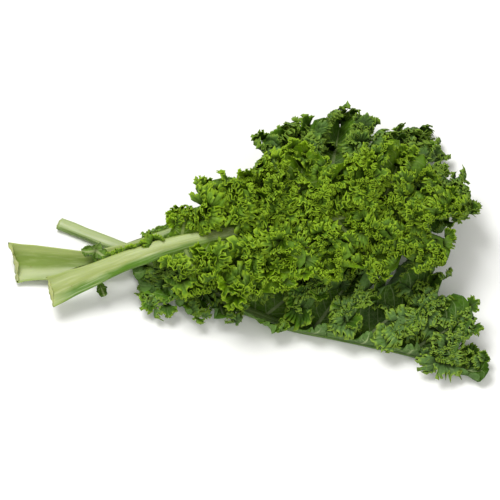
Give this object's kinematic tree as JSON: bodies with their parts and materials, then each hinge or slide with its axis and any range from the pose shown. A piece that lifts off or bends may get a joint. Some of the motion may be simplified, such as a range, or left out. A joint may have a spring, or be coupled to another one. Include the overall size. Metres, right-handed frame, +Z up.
{
  "type": "curly kale bunch",
  "caption": "Loose bunch of picked curly kale leaves lying crossed on a table, pale stems at one end, frilled lobed blades fanning out at the other.",
  "frame": {"origin": "middle of the bunch's footprint on the table", "axes": "+X from the cut stems to the leaf tips, +Y away from the side that the bunch is looked at from, +Z up"},
  "size_m": [0.3976, 0.2644, 0.0961],
  "materials": {
    "top_leaf_stem": "satin",
    "top_leaf_blade": "satin",
    "back_leaf_stem": "satin",
    "back_leaf_blade": "satin",
    "low_leaf_stem": "satin",
    "low_leaf_blade": "satin",
    "low_leaf_leaflet": "satin"
  },
  "bodies": {
    "root": {"top_leaf_stem": "top_leaf_stem", "top_leaf_blade": "top_leaf_blade", "back_leaf_stem": "back_leaf_stem", "back_leaf_blade": "back_leaf_blade", "low_leaf_stem": "low_leaf_stem", "low_leaf_blade": "low_leaf_blade", "low_leaf_leaflet": "low_leaf_leaflet"}
  },
  "joints": []
}
